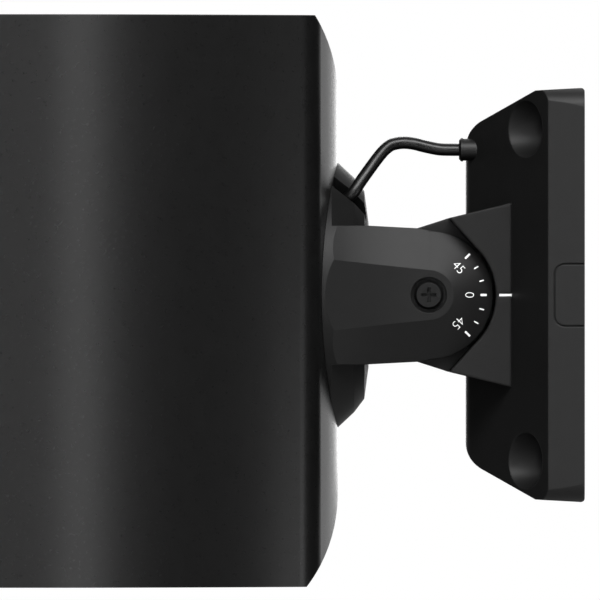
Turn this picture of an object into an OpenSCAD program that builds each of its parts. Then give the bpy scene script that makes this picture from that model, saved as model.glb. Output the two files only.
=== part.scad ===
// Wall speaker on a clamped tilting bracket.
// Origin: centre of the wall plate's back face. +X into the wall, +Z up, the speaker hangs out towards -X.

/* [Wall plate] */
// Height of the wall plate
plate_h = 165.8; // [156:0.2:190]
// Width of the wall plate
plate_w = 140; // [130:1:160]
// Depth from the wall to the crest of the plate
plate_depth = 47; // [44:0.5:49]
// Depth of the plate's side faces
plate_side = 14.7; // [12:0.1:17]
// Depth of the plate's end faces
plate_end = 19.7; // [17:0.1:23]
// Width of the crest before its edges are rounded
crest_w = 28; // [20:1:36]
// Height of the crest before its edges are rounded
crest_h = 133; // [124:1:140]
// Radius along the edges of the crest
crest_r = 12; // [6:0.5:14]
// Corner radius of the plate seen from the front
plate_corner_r = 8.6; // [4:0.2:12]
// How far the ends lean in over their depth
end_draft = 1.1; // [0:0.1:2]
// How far the sides lean in over their depth
side_draft = 0.8; // [0:0.1:2]
// Wall thickness of the plate casting
plate_wall = 3; // [2.4:0.1:4]
// Thickness of the two long ribs inside the plate
rib_t = 2.2; // [1.6:0.1:3]
// Distance of the ribs from the middle
rib_y = 36; // [35:0.5:37]

/* [Wall screws] */
// Distance across between the wall screws
wall_screw_y = 108; // [104:0.5:112]
// Distance up between the wall screws
wall_screw_z = 132.8; // [128:0.2:136]
// Diameter of the screw wells
well_d = 22.8; // [16:0.2:24]
// Diameter of the wall screw holes
wall_hole_d = 6; // [4.5:0.1:8]
// Thickness of metal under the screw heads
well_floor = 4; // [3:0.1:6]

/* [Knock-out] */
// Height of the cable knock-out in each side
knock_h = 25.3; // [16:0.1:32]
// Depth of the knock-out from the wall
knock_depth = 12.4; // [8:0.1:12.6]
// Corner radius of the knock-out
knock_r = 4.4; // [2:0.1:6]
// Width of the thin line round the knock-out
knock_line = 0.5; // [0.3:0.05:1]
// Depth of the thin line
knock_cut = 0.5; // [0.3:0.05:1.5]

/* [Pivot] */
// Distance of the tilt axis from the wall
pivot_x = 62.2; // [61:0.1:64]
// Largest tilt each way, in degrees
tilt_max = 45; // [30:1:45]
// Diameter of the clamp screw
screw_d = 6; // [5:0.5:8]
// Diameter of the clamp screw's head
head_d = 11.6; // [10:0.1:12.6]
// Height of the clamp screw's head
head_h = 3.6; // [2.5:0.1:4]
// Diameter of the well round the screw head
head_well_d = 14.4; // [13.4:0.1:16]
// Depth of the well round the screw head
head_well = 4.2; // [3.6:0.1:6]
// Thickness of the nut
nut_h = 5; // [4:0.1:6]
// Width of the nut across its flats
nut_af = 10; // [10:0.1:11]
// Wall of the plain bush in the yoke
bush_wall = 1.5; // [1:0.1:2]
// Thickness of the friction discs
disc_t = 1; // [0.6:0.1:1.5]
// Diameter of the friction discs
disc_d = 40; // [30:1:46]

/* [Yoke] */
// Width of the yoke across both cheeks
yoke_w = 90; // [86:1:94]
// Width of the tongue inside the arm
tongue_w = 57; // [52:1:60]
// Half height of the yoke where it meets the plate's side slope
yoke_root = 36.9; // [36:0.1:38]
// How fast the yoke narrows towards the speaker
yoke_taper = 0.242; // [0.23:0.002:0.26]
// Distance from the wall to the yoke's open end
yoke_end = 54.3; // [52:0.1:56]
// Radius of the sockets that the arm turns in
socket_r = 26.9; // [26.8:0.1:27.2]
// Degrees that the notches round the arm open past its largest tilt
notch_flare = 3; // [2.8:0.1:4]
// Length of the index line
index_l = 5; // [3:0.1:5.2]
// Width of the index line
index_w = 1.2; // [0.8:0.1:2]
// Depth of the index line
index_cut = 0.4; // [0.2:0.1:0.8]

/* [Arm] */
// Width of the arm at the dial
arm_w = 90; // [86:1:94]
// Radius of the arm's round end
arm_end_r = 25.6; // [25:0.1:25.8]
// Half height of the arm beside the flange
arm_root = 27.8; // [27:0.1:27.9]
// Half height of the arm where it starts to close round the pivot
arm_shoulder = 26.8; // [26.4:0.1:26.8]
// Half height of the flat in the middle of the arm's sides, at the tilt axis
flat_half = 10; // [8:0.2:12]
// How fast that flat widens towards the flange, in degrees
crease_rise = 4.3; // [0:0.1:6]
// How far the broad bevel drops from the flat to the edge
bevel_drop = 5.5; // [3:0.1:7]
// Radius that flares the arm's sides out to the flange
flare_r = 85; // [80:1:100]
// Gap on each side between the arm's cheeks and the tongue's discs
cheek_gap = 0.1; // [0.05:0.05:0.3]
// Distance from the tilt axis to where the arm closes behind the tongue
throat = 21.6; // [21.4:0.1:22]

/* [Flange] */
// Diameter of the round flange
flange_d = 111.6; // [108:0.2:114]
// Height of the flange's straight rim over the cabinet's curved back
rim_h = 4; // [3:0.1:5]
// Height of the dished flange over the cabinet
flange_h = 12.4; // [12:0.1:13]
// Diameter of the flat top of the flange
flange_top_d = 83.6; // [80:0.2:86]
// Wall of the flange
flange_wall = 4; // [3:0.1:5]
// Width of the cable notch
notch_w = 8; // [7:0.1:9]
// Angle of the cable notch above level, in degrees
notch_angle = 56; // [54:1:58]

/* [Cabinet] */
// Width of the cabinet
cabinet_w = 188; // [184:1:196]
// Height of the cabinet above the tilt axis
cabinet_up = 111.9; // [108:0.1:114]
// Height of the cabinet below the tilt axis
cabinet_down = 116.7; // [112:0.1:118]
// Distance from the wall to the cabinet's back
back_x = 98.6; // [98:0.1:100]
// Distance from the wall to the front edge of the cabinet
front_x = 270; // [260:1:290]
// Distance from the wall to where the sides start to close in
waist_x = 223.4; // [221:0.2:228]
// Radius of the cabinet's back from side to side
back_r = 240; // [220:5:320]
// Radius of the cabinet's sides behind the waist
side_r = 240; // [236:1:250]
// Radius of the upright rear corners
rear_corner_r = 16; // [10:0.5:17]
// Radius of the back's upper and lower corners
back_corner_r = 60; // [50:1:62]
// Height above and below the axis where those corners start
back_corner_z = 80; // [76:1:82]
// Wall thickness of the cabinet
cabinet_wall = 4; // [3:0.1:5]

/* [Front] */
// Thickness of the baffle
baffle_t = 8; // [6:0.5:12]
// How deep the baffle sits in the cabinet
baffle_set = 2; // [1:0.5:4]
// Depth of the grille over the cabinet's edge
grille_depth = 14; // [12:0.5:18]
// Thickness of the grille's sheet
grille_t = 1.2; // [0.8:0.1:2]
// Radius of the upright edges of the grille's frame
grille_r = 5; // [3:0.5:6]
// Width of the grille's frame
grille_rim = 6; // [5.5:0.1:8]
// Width of the lip round the grille's sheet
grille_lip = 3.5; // [2.5:0.1:4]
// How deep the sheet lies below the lip
grille_sunk = 0.4; // [0.2:0.1:1]
// Diameter of the grille's holes
grille_hole = 6; // [4:0.5:7]
// Distance between the grille's holes
grille_pitch = 9; // [8:0.5:12]
// Plain margin round the grille's holes
grille_margin = 13; // [12:0.5:20]
// Diameter of the screws that hold the baffle
baffle_screw_d = 4; // [3:0.5:5]

/* [Woofer] */
// Outer diameter of the woofer's frame
woofer_d = 132; // [126:1:136]
// Diameter of the woofer's hole in the baffle
woofer_hole = 116; // [112:1:118]
// Depth of the woofer behind the baffle's face
woofer_depth = 68; // [60:1:76]
// Diameter of the woofer's magnet
magnet_d = 84; // [70:1:90]
// Thickness of the woofer's magnet
magnet_t = 18; // [12:1:22]
// Height of the woofer's centre
woofer_z = -40; // [-44:0.5:-38]
// Diameter of the dust cap
cap_d = 38; // [30:1:44]

/* [Tweeter] */
// Outer diameter of the tweeter's plate
tweeter_d = 66; // [60:1:68]
// Diameter of the tweeter's body
tweeter_body_d = 48; // [40:1:52]
// Depth of the tweeter's body
tweeter_depth = 26; // [20:1:34]
// Diameter of the dome
dome_d = 25; // [19:1:28]
// Height of the tweeter's centre
tweeter_z = 66; // [64:0.5:70]

/* [Cable] */
// Diameter of the speaker cable
cable_d = 5; // [4:0.1:5.2]
// Diameter of the gland's collar
gland_d = 8.8; // [8:0.1:9.4]
// How far the gland's collar stands out of the plate's crest
gland_out = 2.9; // [2:0.1:3.2]

/* [Fits] */
// Clearance round parts that are clamped in place
fit = 0.1; // [0.05:0.05:0.3]
// Radial clearance of the clamp screw in its bush
running = 0.05; // [0.02:0.01:0.1]

/* [Hidden] */
$fn = 64;

black = [0.10, 0.10, 0.105];
deep_black = [0.04, 0.04, 0.045];
zinc = [0.65, 0.66, 0.68];
px = -pivot_x;
side_slope = (plate_depth - plate_side) / ((plate_w - crest_w) / 2);
end_slope = (plate_depth - plate_end) / ((plate_h - crest_h) / 2 - end_draft);
cheek_in = tongue_w / 2 + disc_t + cheek_gap;
sweep_clear = 0.9;
tongue_r = socket_r + 0.3;
slot_r = tongue_r + sweep_clear;
bevel_slope = bevel_drop / (arm_end_r - flat_half);
bore_r = screw_d / 2 + running;
bush_r = screw_d / 2 + running + bush_wall;
flange_r = flange_d / 2;
flange_top_x = -back_x + flange_h;
contact_x = back_at(flange_r);
yoke_root_x = slope_at(yoke_w / 2);
yoke_screw = [22, 24];
yoke_screw_d = 5;
yoke_screw_seat = 36;
yoke_screw_l = 25;
flange_screw = [38, 15];
flange_screw_d = 6;
flange_screw_l = 24;
flange_seat = back_at(flange_screw[0]) - cabinet_wall + 1;
flange_boss_r = 7;
gland_body_r = gland_d / 2 - 0.8;
gland_y = -17;
gland_z = 58.4;
hole_r = 43;
cable_hole = [-hole_r * cos(notch_angle), hole_r * sin(notch_angle)];
terminal = [34, 46];
terminal_x = [-31, -17];
board_x = -112;
board_t = 1.6;
board_z = [-62, 14];
board_half = 29;
inner_front = -front_x + baffle_set + baffle_t;
face_x = -front_x + baffle_set;
seal_t = 1;
cable_route = [[-24, -17, 46], [-24.5, -17, 50], [-27, -17, 54], [-31, -17, 57], [-36, -17, 58.4],
    [-44, -17, 58.4], [-52, -17, 58.4], [-58, -17, 58.6], [-64, -17.5, 59.8], [-68, -18, 60.8],
    [-72, -18, 61.2], [-75.5, -18.5, 60.8], [-78, -19, 59.8], [-81, -20, 57], [-85, -22, 51.8],
    [-89.5, -25, 45.5], [-92.5, -26.5, 41], [-96, -25.5, 38], [-100, -24.3, 36.1],
    [-105, -24, 35.6], [-110, -24, 35], [-115, -24, 32], [-118.5, -24, 27.5], [-118.6, -24, 20.4]];
woofer_route = [[-120, 8, -62], [-121, 8, -69], [-125, 9, -76], [-133, 12, -81], [-143, 15, -84],
    [-155, 18, -87], [-168, 20, -89], [-180, 20, -90], [-192, 18, -90], [-204, 15, -89.5],
    [-216, 11.5, -88.5], [-224, 10, -88], [-230, 10, -88]];
tweeter_route = [[-120, 14, 14], [-121, 14, 21], [-125, 15, 29], [-133, 16, 37], [-144, 16, 44],
    [-158, 15, 50], [-172, 13, 55], [-187, 10, 59.5], [-202, 6, 63], [-215, 3, 65], [-228, 1, 66],
    [-238, 0, 66]];

function unit(v) = v / norm(v);
// Where the cabinet's curved back stands at a distance y from the middle
function back_at(y) = -back_x - back_r + sqrt(back_r * back_r - y * y);
// Half height of the yoke at a depth x
function yoke_half(x) = yoke_root + yoke_taper * (x - yoke_root_x);
// Outside of the plate's side slope at a distance y from the middle
function slope_at(y) = -plate_side - side_slope * (plate_w / 2 - y);

// A convex outline whose corners are rounded by true arcs
module rounded(points, radii) {
    n = len(points);
    a = [for (i = [0:n - 1]) unit(points[(i + n - 1) % n] - points[i])];
    b = [for (i = [0:n - 1]) unit(points[(i + 1) % n] - points[i])];
    half = [for (i = [0:n - 1]) acos(a[i] * b[i]) / 2];
    cut = [for (i = [0:n - 1]) radii[i] / tan(half[i])];
    polygon([for (i = [0:n - 1]) each
        radii[i] > 0 ? [points[i] + a[i] * cut[i], points[i] + b[i] * cut[i]] : [points[i]]]);
    for (i = [0:n - 1])
        if (radii[i] > 0)
            translate(points[i] + unit(a[i] + b[i]) * radii[i] / sin(half[i])) circle(radii[i]);
}

// Prisms: an outline in X and Z run across, one in Y and Z run along X, one in X and Y run up
module across(w) {
    translate([0, w / 2, 0]) rotate([90, 0, 0]) linear_extrude(w) children();
}
module along(x0, x1) {
    translate([x0, 0, 0]) rotate([90, 0, 90]) linear_extrude(x1 - x0) children();
}
module upward(z0, z1) {
    translate([0, 0, z0]) linear_extrude(z1 - z0) children();
}

// Round bars along X and along Y
module bar_x(x0, x1, r, y = 0, z = 0) {
    translate([x0, y, z]) rotate([0, 90, 0]) cylinder(h = x1 - x0, r = r);
}
module bar_y(y0, y1, r, x = 0, z = 0) {
    translate([x, y1, z]) rotate([90, 0, 0]) cylinder(h = y1 - y0, r = r);
}
// A turned shape about an axis along X: outline points are [radius, x]
module turned_x(points, y = 0, z = 0) {
    translate([0, y, z]) rotate([0, 90, 0]) rotate_extrude() polygon(points);
}
module both_sides() {
    children();
    mirror([0, 1, 0]) children();
}
module four_corners() {
    for (m = [0, 1], k = [0, 1])
        mirror([0, m, 0]) mirror([0, 0, k]) children();
}

// A round flexible tube swept along a list of points
module tube(route, d, sides = 10) {
    n = len(route);
    ways = [for (i = [0:n - 1]) unit(route[min(i + 1, n - 1)] - route[max(i - 1, 0)])];
    rings = [for (i = [0:n - 1]) let (t = ways[i],
        up = abs(t[1]) < 0.9 ? [0, 1, 0] : [1, 0, 0],
        u = unit(cross(up, t)), v = cross(t, u))
        for (k = [0:sides - 1]) route[i] + d / 2 * (cos(360 * k / sides) * u + sin(360 * k / sides) * v)];
    walls = [for (i = [0:n - 2], k = [0:sides - 1]) let (j = (k + 1) % sides)
        [i * sides + k, (i + 1) * sides + k, (i + 1) * sides + j, i * sides + j]];
    ends = [[for (k = [0:sides - 1]) k], [for (k = [sides - 1:-1:0]) (n - 1) * sides + k]];
    polyhedron(rings, concat(walls, ends));
}

// Outer form of the wall plate, or with inset t the form of its hollow
module plate_form(t = 0) {
    w = plate_w / 2 - t;
    h = plate_h / 2 - t;
    mouth = t > 0 ? 1 : 0;
    side_x = plate_side + side_slope * t - t * sqrt(1 + side_slope * side_slope);
    end_x = plate_end + end_slope * t - t * sqrt(1 + end_slope * end_slope);
    depth = plate_depth - t;
    crest_y = w - (depth - side_x) / side_slope;
    crest_z = h - end_draft - (depth - end_x) / end_slope;
    r = plate_corner_r - t;
    edge_r = t > 0 ? 0 : 1.5;
    intersection() {
        along(-depth, mouth) rounded([[-w, -h], [w, -h], [w, h], [-w, h]], [r, r, r, r]);
        upward(-h, h) rounded([[mouth, -w], [mouth, w], [-side_x, w - side_draft], [-depth, crest_y],
            [-depth, -crest_y], [-side_x, side_draft - w]],
            [0, 0, 0, crest_r - t, crest_r - t, 0]);
        across(2 * w) rounded([[mouth, -h], [mouth, h], [-end_x, h - end_draft], [-depth, crest_z],
            [-depth, -crest_z], [-end_x, end_draft - h]],
            [edge_r, edge_r, 0, crest_r - t, crest_r - t, 0]);
    }
}

// Outline in X and Z of the line round the knock-out
module knock_outline() {
    difference() {
        rounded([[2, -knock_h / 2], [2, knock_h / 2], [-knock_depth, knock_h / 2],
            [-knock_depth, -knock_h / 2]], [0, 0, knock_r, knock_r]);
        rounded([[3, knock_line - knock_h / 2], [3, knock_h / 2 - knock_line],
            [knock_line - knock_depth, knock_h / 2 - knock_line],
            [knock_line - knock_depth, knock_line - knock_h / 2]],
            [0, 0, knock_r - knock_line, knock_r - knock_line]);
    }
}

module wall_plate() {
    y = wall_screw_y / 2;
    z = wall_screw_z / 2;
    color(black) difference() {
        union() {
            difference() {
                plate_form();
                plate_form(plate_wall);
            }
            intersection() {
                plate_form();
                union() {
                    four_corners() bar_x(-plate_depth, 0, well_d / 2 + plate_wall, y, z);
                    four_corners() bar_x(-plate_depth, -yoke_screw_seat, 6, yoke_screw[0], yoke_screw[1]);
                    both_sides() bar_y(tongue_w / 2 - plate_wall, rib_y, socket_r + plate_wall, px, 0);
                    both_sides() translate([-plate_depth, rib_y - rib_t / 2, -plate_h / 2 + 10])
                        cube([plate_depth - 12, rib_t, plate_h - 20]);
                    bar_x(-plate_depth, terminal_x[0], 3, gland_y - 7, terminal[0] + 6);
                    bar_x(-plate_depth, terminal_x[0], 3, gland_y + 7, terminal[0] + 6);
                }
            }
        }
        four_corners() bar_x(-plate_depth - 1, -well_floor, well_d / 2, y, z);
        four_corners() bar_x(-well_floor - 1, 1, wall_hole_d / 2, y, z);
        four_corners() bar_x(-plate_depth - 1, 0, yoke_screw_d / 2 + fit, yoke_screw[0], yoke_screw[1]);
        bar_x(-plate_depth - 1, 0, gland_body_r, gland_y, gland_z);
        both_sides() translate([0, -plate_w / 2 + knock_cut / 2, 0]) across(knock_cut + 1.2) knock_outline();
        both_sides() bar_y(tongue_w / 2, yoke_w / 2, socket_r, px, 0);
    }
}

module cable_gland() {
    collar = -plate_depth - gland_out;
    color(deep_black) difference() {
        union() {
            difference() {
                union() {
                    bar_x(collar + 1, -plate_depth + 6, gland_d / 2, gland_y, gland_z);
                    turned_x([[0, collar], [gland_d / 2 - 0.6, collar], [gland_d / 2 + 0.3, collar + 0.8],
                        [gland_d / 2 + 0.3, collar + 1.6], [0, collar + 1.6]], gland_y, gland_z);
                }
                plate_form();
            }
            bar_x(-plate_depth - 0.5, -plate_depth + plate_wall + 5, gland_body_r - fit / 2, gland_y, gland_z);
            intersection() {
                bar_x(-plate_depth + plate_wall + 2.6, -plate_depth + plate_wall + 5, gland_d / 2 + 1, gland_y, gland_z);
                plate_form(plate_wall + 0.2);
            }
        }
        bar_x(collar - 1, 0, cable_d / 2 + fit / 2, gland_y, gland_z);
    }
}

module terminal_block() {
    color([0.12, 0.25, 0.18]) difference() {
        translate([terminal_x[0], gland_y - 10, terminal[0]])
            cube([terminal_x[1] - terminal_x[0], 20, terminal[1] - terminal[0]]);
        for (y = [gland_y - 5, gland_y + 5]) {
            bar_x(terminal_x[1] - 4, terminal_x[1] + 1, 2.4, y, (terminal[0] + terminal[1]) / 2);
            translate([(terminal_x[0] + terminal_x[1]) / 2, y, terminal[0] - 1]) cylinder(h = 6, r = 2);
        }
    }
}

// A screw along X from its head at x0, pointing towards -X
module pan_screw(x0, d, l, head, h, y, z) {
    difference() {
        union() {
            bar_x(x0 - l, x0, d / 2, y, z);
            turned_x([[0, x0], [head / 2, x0], [head / 2, x0 + h * 0.5], [head / 2 - h * 0.35, x0 + h], [0, x0 + h]], y, z);
        }
        for (a = [0, 90])
            translate([x0 + h, y, z]) rotate([a, 0, 0]) cube([h, d * 0.95, d * 0.22], center = true);
    }
}

module yoke_screws() {
    color(zinc) four_corners()
        pan_screw(-yoke_screw_seat, yoke_screw_d, yoke_screw_l, 9.5, 3, yoke_screw[0], yoke_screw[1]);
}

// Side outline of the yoke between two depths
module yoke_side(x0, x1) {
    polygon([[x0, -yoke_half(x0)], [x1, -yoke_half(x1)], [x1, yoke_half(x1)], [x0, yoke_half(x0)]]);
}

// Room that the arm's cheeks sweep, as an outline in X and Z about the tilt axis
module swept_room() {
    reach = 80;
    a = 90 - tilt_max - notch_flare;
    // The notch cuts a little into the socket's circle, so that the two meet at an edge
    notch_r = socket_r - 0.1;
    circle(socket_r);
    for (s = [-1, 1]) {
        edge = notch_r * [cos(a), s * sin(a)];
        far = edge + reach * [-sin(a), s * cos(a)];
        polygon([[0, 0], edge, far, [-reach, far[1]], [-reach, 0]]);
    }
}

module pivot_yoke() {
    room_w = (yoke_w - tongue_w) / 2 + 1;
    // The tongue's taper starts a little inside its round end, so that the two meet at an edge
    tip_a = atan(yoke_taper);
    tip = (tongue_r - 0.2) * [-sin(tip_a), cos(tip_a)];
    color(black) difference() {
        union() {
            difference() {
                across(yoke_w) yoke_side(-yoke_end, -10);
                for (s = [-1, 1])
                    translate([px, s * (tongue_w + room_w) / 2, 0]) across(room_w) swept_room();
            }
            across(tongue_w) {
                yoke_side(-yoke_end - 1, -12);
                polygon([[px + tip[0], -tip[1]], [-yoke_end, -yoke_half(-yoke_end)],
                    [-yoke_end, yoke_half(-yoke_end)], [px + tip[0], tip[1]]]);
                translate([px, 0]) circle(tongue_r);
            }
        }
        plate_form();
        bar_y(-yoke_w, yoke_w, bush_r + fit / 2, px, 0);
        four_corners() bar_x(-yoke_screw_seat - yoke_screw_l - 1, 0, yoke_screw_d / 2 + fit / 2,
            yoke_screw[0], yoke_screw[1]);
        translate([yoke_root_x - index_l, -yoke_w / 2 - 1, -index_w / 2])
            cube([index_l + 2, index_cut + 1, index_w]);
    }
}

module pivot_bush() {
    color([0.55, 0.52, 0.45]) difference() {
        bar_y(-tongue_w / 2, tongue_w / 2, bush_r, px, 0);
        bar_y(-tongue_w, tongue_w, bore_r, px, 0);
    }
}

module friction_discs() {
    color([0.3, 0.28, 0.26]) both_sides() difference() {
        bar_y(tongue_w / 2, tongue_w / 2 + disc_t, disc_d / 2, px, 0);
        bar_y(tongue_w / 2 - 1, tongue_w, bore_r + 0.3, px, 0);
    }
}

// Side outline of the arm, from the cabinet to its round end
module arm_side() {
    s = arm_shoulder;
    sx = -4.8;
    reach = norm([sx, s]);
    a = atan2(s, sx) - acos(arm_end_r / reach);
    t = arm_end_r * [cos(a), sin(a)];
    root_x = flange_top_x;
    far = -back_x - 8;
    translate([px, 0]) circle(arm_end_r);
    polygon([[far, -arm_root], [root_x, -arm_root], [px + sx, -s], [px + t[0], -t[1]],
        [px + t[0], t[1]], [px + sx, s], [root_x, arm_root], [far, arm_root]]);
}

// One side of the arm: the room outside its flared face and its two broad bevels
module arm_side_cut() {
    z1 = flange_r;
    lift = (z1 - flat_half) * bevel_slope;
    translate([px, arm_w / 2 + flare_r, 0]) {
        translate([0, 0, -z1]) cylinder(h = 2 * z1, r = flare_r, $fn = 120);
        for (m = [0, 1]) mirror([0, 0, m]) rotate([0, crease_rise, 0]) rotate_extrude($fn = 120)
            polygon([[0, flat_half], [flare_r, flat_half], [flare_r + lift, z1], [0, z1]]);
    }
}

module arm_body() {
    edge_y = arm_w / 2 - bevel_drop;
    intersection() {
        difference() {
            across(flange_d) arm_side();
            both_sides() arm_side_cut();
            both_sides() translate([px, arm_w / 2 - bevel_drop - 6, -60]) cube([80, 80, 120]);
        }
        bar_x(-back_x - 8, 0, flange_r);
    }
    both_sides() translate([px, edge_y - 6, 0]) rotate([-90, 0, 0]) {
        cylinder(h = 6, r = arm_end_r);
        translate([0, 0, 6]) cylinder(h = bevel_drop, r1 = arm_end_r, r2 = flat_half);
    }
}

module flange_dish() {
    top = flange_top_x;
    turned_x([[0, top], [flange_top_d / 2 - 12.8, top], [flange_top_d / 2, top - 1.7], [flange_top_d / 2 + 5.4, top - 5.8],
        [flange_r, contact_x + rim_h], [flange_r, contact_x - 2], [0, contact_x - 2]]);
}

// Room under the flange for the cable
module flange_hollow() {
    top = flange_top_x - 8.3;
    turned_x([[0, top], [flange_top_d / 2 - 2, top], [flange_top_d / 2 + 4, top - 2.4],
        [flange_r - flange_wall - 1, contact_x + 2], [flange_r - flange_wall - 1, contact_x - 3], [0, contact_x - 3]]);
}

module flange_bosses() {
    four_corners() bar_x(contact_x - 3, flange_top_x - 6, flange_boss_r, flange_screw[0], flange_screw[1]);
}

// The space that the cabinet's curved back takes up
module cabinet_back() {
    upward(-cabinet_down, cabinet_up) translate([-back_x - back_r, 0]) circle(back_r, $fn = 120);
}

module bracket_arm() {
    slot_w = 2 * cheek_in;
    notch = [-cos(notch_angle), sin(notch_angle)];
    color(black) difference() {
        union() {
            difference() {
                flange_dish();
                both_sides() arm_side_cut();
            }
            arm_body();
        }
        difference() {
            flange_hollow();
            flange_bosses();
        }
        cabinet_back();
        across(slot_w) {
            translate([px, 0]) circle(slot_r);
            translate([px - throat, -60]) square([80, 120]);
        }
        along(contact_x - 4, -70) rotate(180 - notch_angle) translate([36, -notch_w / 2]) square([40, notch_w]);
        bar_y(-flange_d, flange_d, bore_r, px, 0);
        bar_y(-arm_w / 2 - 1, -arm_w / 2 + head_well, head_well_d / 2, px, 0);
        translate([px, arm_w / 2 - nut_h - 1, 0]) rotate([-90, 0, 0]) cylinder(h = 20, r = (nut_af / 2 + fit) / cos(30), $fn = 6);
        four_corners() bar_x(contact_x - 5, -back_x - cabinet_wall + flange_screw_l, flange_screw_d / 2 + fit / 2,
            flange_screw[0], flange_screw[1]);
    }
}

module clamp_screw() {
    seat = -arm_w / 2 + head_well;
    tip = arm_w / 2 - 0.5;
    color([0.12, 0.12, 0.13]) difference() {
        union() {
            bar_y(seat - 0.5, tip, screw_d / 2, px, 0);
            translate([px, seat, 0]) rotate([90, 0, 0]) rotate_extrude()
                polygon([[0, 0], [head_d / 2, 0], [head_d / 2, head_h * 0.55], [head_d / 2 - 0.9, head_h], [0, head_h]]);
        }
        for (a = [0, 90])
            translate([px, seat - head_h, 0]) rotate([0, a, 0]) cube([screw_d, 4, screw_d * 0.22], center = true);
    }
}

module clamp_nut() {
    color(zinc) translate([px, arm_w / 2 - nut_h - 1, 0]) rotate([-90, 0, 0]) difference() {
        cylinder(h = nut_h, r = nut_af / 2 / cos(30), $fn = 6);
        translate([0, 0, -1]) cylinder(h = nut_h + 2, r = bore_r);
    }
}

module flange_screws() {
    seat = flange_seat;
    color(zinc) four_corners() mirror([1, 0, 0])
        pan_screw(-seat, flange_screw_d, flange_screw_l - 4, 11, 3.5, flange_screw[0], flange_screw[1]);
}

// Plan outline of the cabinet, or with inset t that of its hollow
module cabinet_plan(t = 0) {
    rb = back_r - t;
    rs = side_r - t;
    rc = rear_corner_r - t;
    cb = [-back_x - back_r, 0];
    cs = [-waist_x, cabinet_w / 2 - side_r];
    // Centre of the rear corner: inside both arcs by the corner's radius
    d = norm(cs - cb);
    along_d = ((rb - rc) * (rb - rc) - (rs - rc) * (rs - rc) + d * d) / (2 * d);
    off = sqrt((rb - rc) * (rb - rc) - along_d * along_d);
    u = unit(cs - cb);
    c = cb + u * along_d + [-u[1], u[0]] * off;
    tb = unit(c - cb);
    ts = unit(c - cs);
    for (m = [0, 1]) mirror([0, m]) {
        intersection() {
            difference() {
                translate([-waist_x, 0]) square([waist_x, cabinet_w]);
                polygon([c, c + tb * 60, c + (tb + ts) * 60, c + ts * 60]);
            }
            translate(cb) circle(rb, $fn = 180);
            translate(cs) circle(rs, $fn = 180);
        }
        translate(c) circle(rc);
    }
    translate([-front_x, t - cabinet_w / 2]) square([front_x - waist_x + 0.01, cabinet_w - 2 * t]);
}

// Side outline of the cabinet, or with inset t that of its hollow
module cabinet_side(t = 0) {
    r = back_corner_r - t;
    z = back_corner_z;
    x = -back_x - back_corner_r;
    intersection() {
        translate([-front_x - 2, -cabinet_down + t]) square([front_x + 2, cabinet_up + cabinet_down - 2 * t]);
        union() {
            translate([-front_x - 2, -200]) square([front_x + 2 + x, 400]);
            translate([-front_x - 2, -z]) square([front_x + 2 - back_x - t, 2 * z]);
            for (s = [-1, 1]) translate([x, s * z]) circle(r, $fn = 120);
        }
    }
}

module cabinet_form(t = 0) {
    intersection() {
        upward(-cabinet_down + t, cabinet_up - t) cabinet_plan(t);
        across(cabinet_w) cabinet_side(t);
    }
}

// Places of the baffle's screws
function baffle_spots() = [for (y = [-1, 1], z = [cabinet_up - 14, 12, -cabinet_down + 14]) [y * (cabinet_w / 2 - 13), z]];

module cabinet_shell() {
    color(black) difference() {
        union() {
            difference() {
                cabinet_form();
                cabinet_form(cabinet_wall);
                translate([-front_x - 1, cabinet_wall - cabinet_w / 2, cabinet_wall - cabinet_down])
                    cube([10, cabinet_w - 2 * cabinet_wall, cabinet_up + cabinet_down - 2 * cabinet_wall]);
            }
            intersection() {
                cabinet_form(1);
                union() {
                    for (p = baffle_spots()) {
                        bar_x(inner_front + seal_t, inner_front + 34, 5.5, p[0], p[1]);
                        translate([inner_front + seal_t, min(p[0], sign(p[0]) * cabinet_w / 2), p[1] - 2])
                            cube([33 - seal_t, abs(sign(p[0]) * cabinet_w / 2 - p[0]), 4]);
                    }
                    along(inner_front + seal_t, inner_front + seal_t + 3) difference() {
                        baffle_outline(-2);
                        baffle_outline(5);
                    }
                    for (y = [-1, 1], z = board_z)
                        bar_x(board_x, -back_x, 3.5, y * 24, z - 6 * sign(z));
                }
            }
        }
        for (p = baffle_spots())
            bar_x(-front_x, inner_front + 20, baffle_screw_d / 2 + fit / 2, p[0], p[1]);
        four_corners() bar_x(-130, -90, flange_screw_d / 2 + 0.3, flange_screw[0], flange_screw[1]);
        four_corners() bar_x(-130, flange_seat, 7, flange_screw[0], flange_screw[1]);
        bar_x(-120, -90, 5 + fit, cable_hole[0], cable_hole[1]);
    }
}

module cable_grommet() {
    y = cable_hole[0];
    z = cable_hole[1];
    out = back_at(abs(y) + 5);
    inner = back_at(abs(y)) - cabinet_wall;
    color(deep_black) difference() {
        union() {
            bar_x(inner - 2.5, out, 5, y, z);
            bar_x(inner - 3.5, inner - 1.2, 7, y, z);
        }
        bar_x(inner - 5, out + 2, cable_d / 2 + 0.6, y, z);
    }
}

module baffle_outline(inset) {
    w = cabinet_w / 2 - cabinet_wall - inset;
    translate([-w, -cabinet_down + cabinet_wall + inset])
        square([2 * w, cabinet_up + cabinet_down - 2 * cabinet_wall - 2 * inset]);
}

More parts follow.
